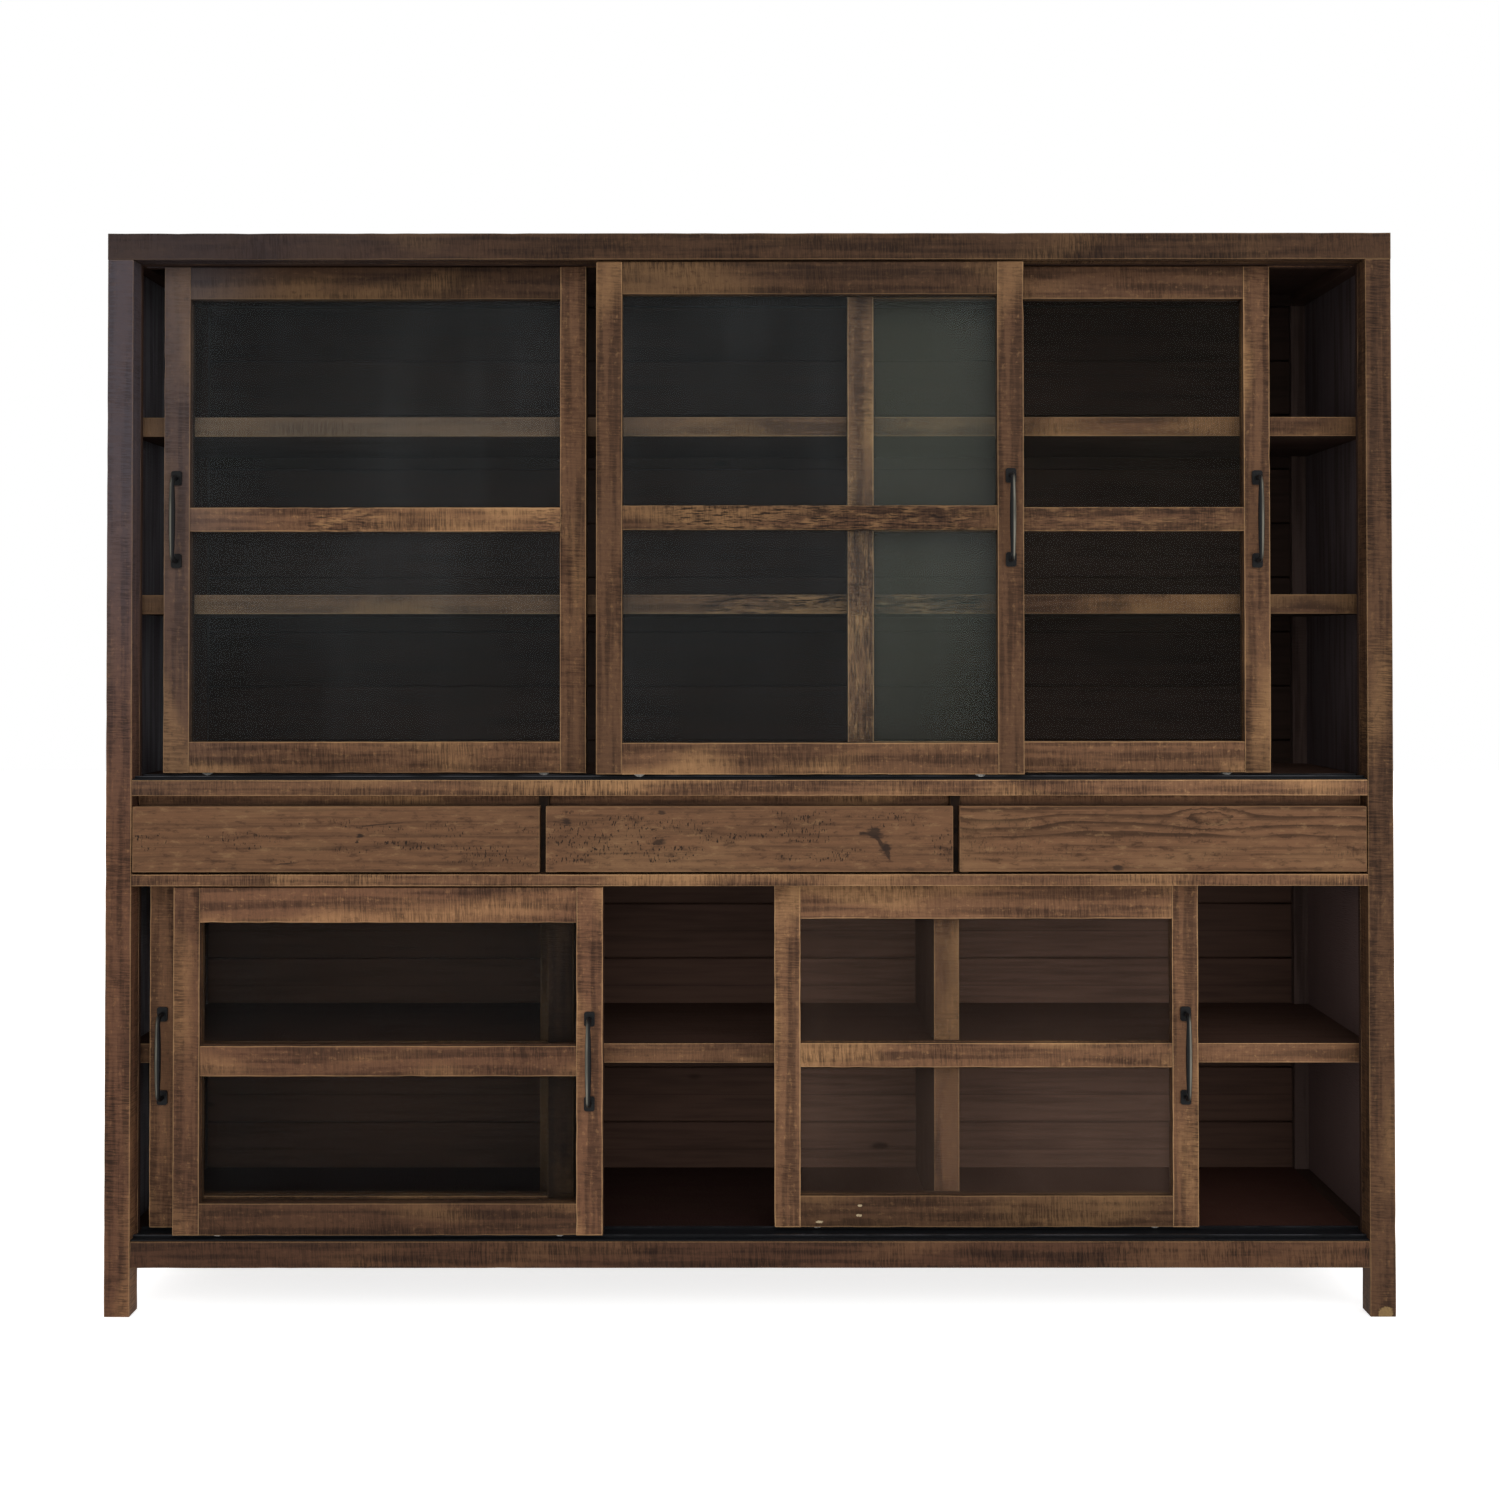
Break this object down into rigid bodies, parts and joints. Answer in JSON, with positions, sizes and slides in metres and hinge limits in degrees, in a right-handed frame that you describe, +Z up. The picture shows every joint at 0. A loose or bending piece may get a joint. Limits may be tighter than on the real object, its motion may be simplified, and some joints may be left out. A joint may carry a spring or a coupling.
{
  "type": "dresser with hutch",
  "caption": "Wide two-tier dresser in dark rough-sawn timber: a glazed hutch with sliding doors over a row of handle-less drawers and a glazed base with sliding doors and shelves.",
  "frame": {"origin": "on the floor, under the middle of the footprint with the front pulls included", "axes": "+X along the front to the viewer's right, +Y from front to back, +Z up"},
  "size_m": [2.2, 0.528, 1.85],
  "materials": {
    "frame_timber": "dark brown stain on rough-sawn pine, matt, with worn ochre edges",
    "door_timber": "dark brown stain on rough-sawn pine, matt, with cross saw marks",
    "drawer_timber": "brown stain on planed pine with knots, satin",
    "inner_timber": "very dark brown stain, matt",
    "clear_glass": "clear float glass",
    "pull_iron": "blackened iron with worn grey highlights",
    "track_black": "black lacquered steel",
    "roller_nylon": "off-white nylon"
  },
  "bodies": {
    "carcass": {"front_post_left": "frame_timber", "front_post_right": "frame_timber", "back_post_left": "frame_timber", "back_post_right": "frame_timber", "top_front_rail": "frame_timber", "top_back_rail": "frame_timber", "upper_deck": "frame_timber", "drawer_deck": "frame_timber", "bottom_front_rail": "frame_timber", "side_rails": "frame_timber", "top_panel": "inner_timber", "upper_rear_guide": "inner_timber", "side_panel_left": "inner_timber", "side_panel_right": "inner_timber", "door_stops": "inner_timber", "back_boards": "inner_timber", "back_rails": "inner_timber", "drawer_header": "inner_timber", "drawer_partitions": "inner_timber", "bottom_deck": "inner_timber", "upper_shelves": "inner_timber", "lower_shelves": "inner_timber", "lower_dividers": "inner_timber", "door_tracks": "track_black"},
    "upper_left_door": {"upper_left_door_frame": "door_timber", "upper_left_door_glass": "clear_glass", "upper_left_door_pull": "pull_iron"},
    "upper_middle_door": {"upper_middle_door_frame": "door_timber", "upper_middle_door_glass": "clear_glass", "upper_middle_door_pull": "pull_iron"},
    "upper_right_door": {"upper_right_door_frame": "door_timber", "upper_right_door_glass": "clear_glass", "upper_right_door_pull": "pull_iron"},
    "lower_left_door": {"lower_left_door_frame": "door_timber", "lower_left_door_glass": "clear_glass", "lower_left_door_pull": "pull_iron"},
    "lower_middle_door": {"lower_middle_door_frame": "door_timber", "lower_middle_door_glass": "clear_glass", "lower_middle_door_pull": "pull_iron"},
    "lower_right_door": {"lower_right_door_frame": "door_timber", "lower_right_door_glass": "clear_glass", "lower_right_door_pull": "pull_iron"},
    "upper_left_door_roller_left": {"upper_left_door_roller_left": "roller_nylon"},
    "upper_left_door_roller_right": {"upper_left_door_roller_right": "roller_nylon"},
    "upper_middle_door_roller_left": {"upper_middle_door_roller_left": "roller_nylon"},
    "upper_middle_door_roller_right": {"upper_middle_door_roller_right": "roller_nylon"},
    "upper_right_door_roller_left": {"upper_right_door_roller_left": "roller_nylon"},
    "upper_right_door_roller_right": {"upper_right_door_roller_right": "roller_nylon"},
    "lower_left_door_roller_left": {"lower_left_door_roller_left": "roller_nylon"},
    "lower_left_door_roller_right": {"lower_left_door_roller_right": "roller_nylon"},
    "lower_middle_door_roller_left": {"lower_middle_door_roller_left": "roller_nylon"},
    "lower_middle_door_roller_right": {"lower_middle_door_roller_right": "roller_nylon"},
    "lower_right_door_roller_left": {"lower_right_door_roller_left": "roller_nylon"},
    "lower_right_door_roller_right": {"lower_right_door_roller_right": "roller_nylon"},
    "left_drawer": {"left_drawer_front": "drawer_timber", "left_drawer_box": "drawer_timber"},
    "middle_drawer": {"middle_drawer_front": "drawer_timber", "middle_drawer_box": "drawer_timber"},
    "right_drawer": {"right_drawer_front": "drawer_timber", "right_drawer_box": "drawer_timber"}
  },
  "joints": [
    {"name": "upper_left_door_slide", "type": "slide", "parent": "carcass", "child": "upper_left_door", "axis": [1, 0, 0], "range_m": [-0.0375, 0.453]},
    {"name": "upper_middle_door_slide", "type": "slide", "parent": "carcass", "child": "upper_middle_door", "axis": [1, 0, 0], "range_m": [-0.7215, 0.4005]},
    {"name": "upper_right_door_slide", "type": "slide", "parent": "carcass", "child": "upper_right_door", "axis": [1, 0, 0], "range_m": [-0.4005, 0.1505]},
    {"name": "lower_left_door_slide", "type": "slide", "parent": "carcass", "child": "lower_left_door", "axis": [1, 0, 0], "range_m": [-0.0165, 0.346]},
    {"name": "lower_middle_door_slide", "type": "slide", "parent": "lower_left_door", "child": "lower_middle_door", "axis": [1, 0, 0], "range_m": [-0.0205, 0.6485]},
    {"name": "lower_right_door_slide", "type": "slide", "parent": "carcass", "child": "lower_right_door", "axis": [1, 0, 0], "range_m": [-0.346, 0.2785]},
    {"name": "upper_left_door_roller_left_spin", "type": "hinge", "parent": "upper_left_door", "child": "upper_left_door_roller_left", "pos_m": [-0.944, -0.169, 0.9293], "axis": [0, 1, 0], "continuous": true},
    {"name": "upper_left_door_roller_right_spin", "type": "hinge", "parent": "upper_left_door", "child": "upper_left_door_roller_right", "pos_m": [-0.358, -0.169, 0.9293], "axis": [0, 1, 0], "continuous": true},
    {"name": "upper_middle_door_roller_left_spin", "type": "hinge", "parent": "upper_middle_door", "child": "upper_middle_door_roller_left", "pos_m": [-0.189, -0.215, 0.9293], "axis": [0, 1, 0], "continuous": true},
    {"name": "upper_middle_door_roller_right_spin", "type": "hinge", "parent": "upper_middle_door", "child": "upper_middle_door_roller_right", "pos_m": [0.397, -0.215, 0.9293], "axis": [0, 1, 0], "continuous": true},
    {"name": "upper_right_door_roller_left_spin", "type": "hinge", "parent": "upper_right_door", "child": "upper_right_door_roller_left", "pos_m": [0.245, -0.169, 0.9293], "axis": [0, 1, 0], "continuous": true},
    {"name": "upper_right_door_roller_right_spin", "type": "hinge", "parent": "upper_right_door", "child": "upper_right_door_roller_right", "pos_m": [0.831, -0.169, 0.9293], "axis": [0, 1, 0], "continuous": true},
    {"name": "lower_left_door_roller_left_spin", "type": "hinge", "parent": "lower_left_door", "child": "lower_left_door_roller_left", "pos_m": [-0.965, -0.169, 0.1443], "axis": [0, 1, 0], "continuous": true},
    {"name": "lower_left_door_roller_right_spin", "type": "hinge", "parent": "lower_left_door", "child": "lower_left_door_roller_right", "pos_m": [-0.379, -0.169, 0.1443], "axis": [0, 1, 0], "continuous": true},
    {"name": "lower_middle_door_roller_left_spin", "type": "hinge", "parent": "lower_middle_door", "child": "lower_middle_door_roller_left", "pos_m": [-0.911, -0.215, 0.1443], "axis": [0, 1, 0], "continuous": true},
    {"name": "lower_middle_door_roller_right_spin", "type": "hinge", "parent": "lower_middle_door", "child": "lower_middle_door_roller_right", "pos_m": [-0.325, -0.215, 0.1443], "axis": [0, 1, 0], "continuous": true},
    {"name": "lower_right_door_roller_left_spin", "type": "hinge", "parent": "lower_right_door", "child": "lower_right_door_roller_left", "pos_m": [0.117, -0.169, 0.1443], "axis": [0, 1, 0], "continuous": true},
    {"name": "lower_right_door_roller_right_spin", "type": "hinge", "parent": "lower_right_door", "child": "lower_right_door_roller_right", "pos_m": [0.703, -0.169, 0.1443], "axis": [0, 1, 0], "continuous": true},
    {"name": "left_drawer_slide", "type": "slide", "parent": "carcass", "child": "left_drawer", "axis": [0, -1, 0], "range_m": [0, 0.3]},
    {"name": "middle_drawer_slide", "type": "slide", "parent": "carcass", "child": "middle_drawer", "axis": [0, -1, 0], "range_m": [0, 0.3]},
    {"name": "right_drawer_slide", "type": "slide", "parent": "carcass", "child": "right_drawer", "axis": [0, -1, 0], "range_m": [0, 0.3]}
  ],
  "couplings": [
    {"joint": "upper_left_door_roller_left_spin", "follows": "upper_left_door_slide", "rad_per_m": 100},
    {"joint": "upper_left_door_roller_right_spin", "follows": "upper_left_door_slide", "rad_per_m": 100},
    {"joint": "upper_middle_door_roller_left_spin", "follows": "upper_middle_door_slide", "rad_per_m": 100},
    {"joint": "upper_middle_door_roller_right_spin", "follows": "upper_middle_door_slide", "rad_per_m": 100},
    {"joint": "upper_right_door_roller_left_spin", "follows": "upper_right_door_slide", "rad_per_m": 100},
    {"joint": "upper_right_door_roller_right_spin", "follows": "upper_right_door_slide", "rad_per_m": 100},
    {"joint": "lower_left_door_roller_left_spin", "follows": "lower_left_door_slide", "rad_per_m": 100},
    {"joint": "lower_left_door_roller_right_spin", "follows": "lower_left_door_slide", "rad_per_m": 100},
    {"joint": "lower_middle_door_roller_left_spin", "follows": "lower_middle_door_slide", "rad_per_m": 100},
    {"joint": "lower_middle_door_roller_right_spin", "follows": "lower_middle_door_slide", "rad_per_m": 100},
    {"joint": "lower_right_door_roller_left_spin", "follows": "lower_right_door_slide", "rad_per_m": 100},
    {"joint": "lower_right_door_roller_right_spin", "follows": "lower_right_door_slide", "rad_per_m": 100}
  ]
}
